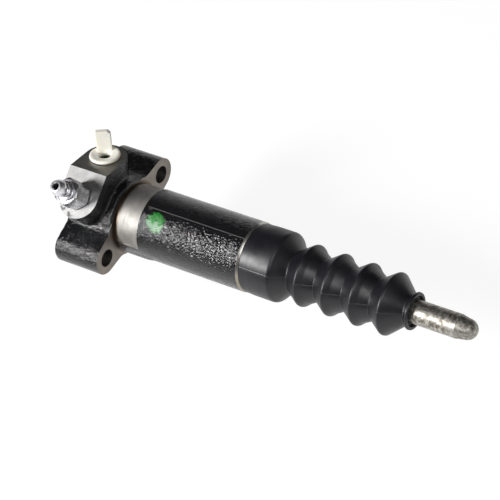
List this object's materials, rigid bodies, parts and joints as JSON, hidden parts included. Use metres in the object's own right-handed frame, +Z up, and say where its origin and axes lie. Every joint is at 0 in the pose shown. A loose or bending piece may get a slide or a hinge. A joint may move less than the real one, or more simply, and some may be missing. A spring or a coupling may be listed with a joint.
{
  "type": "clutch hydraulic cylinder",
  "caption": "Clutch slave cylinder: cast body with bolting ears, an inlet port, a bleed screw, and a push rod carried in a rubber bellows.",
  "frame": {"origin": "on the bore's axis at the machined face of the flange", "axes": "+X along the bore towards the push rod, +Y along the line of the ears, +Z up between the two ports"},
  "size_m": [0.2234, 0.0714, 0.0689],
  "materials": {
    "black_paint": "black gloss paint over a cast skin, machined faces bare",
    "washer_steel": "plain",
    "spring_steel": "drawn wire",
    "piston_alloy": "turned",
    "seal_rubber": "smooth",
    "pressed_steel": "pressed",
    "coil_steel": "drawn wire",
    "bare_steel": "bare, mottled",
    "boot_rubber": "satin, moulded",
    "zinc_plate": "bright zinc plating",
    "nylon": "ivory, slightly translucent"
  },
  "bodies": {
    "cylinder": {"cylinder_body": "black_paint", "stop_washer": "washer_steel", "snap_ring": "spring_steel", "dust_boot": "boot_rubber", "return_spring": "coil_steel"},
    "piston": {"piston": "piston_alloy", "piston_cup": "seal_rubber", "spring_seat": "pressed_steel"},
    "push_rod": {"push_rod": "bare_steel"},
    "bleed_screw": {"bleed_screw": "zinc_plate"},
    "transit_plug": {"transit_plug": "nylon"}
  },
  "joints": [
    {"name": "piston_stroke", "type": "slide", "parent": "cylinder", "child": "piston", "axis": [1, 0, 0], "range_m": [-0.02, 0], "stiffness_N_per_m": 150, "springref_m": 0.015, "deforming": ["dust_boot", "return_spring"]},
    {"name": "rod_swivel", "type": "hinge", "parent": "piston", "child": "push_rod", "pos_m": [0.07045, 0, 0], "axis": [0, 0, 1], "range_deg": [-3, 3], "stiffness_Nm_per_rad": 2, "deforming": ["dust_boot"]},
    {"name": "bleed_turn", "type": "hinge", "parent": "cylinder", "child": "bleed_screw", "pos_m": [-0.0158, -0.01283, 0.02705], "axis": [0, -0.3827, 0.9239], "range_deg": [0, 360]},
    {"name": "plug_pull", "type": "slide", "parent": "cylinder", "child": "transit_plug", "axis": [0, 0.3827, 0.9239], "range_m": [0, 0.015]}
  ]
}
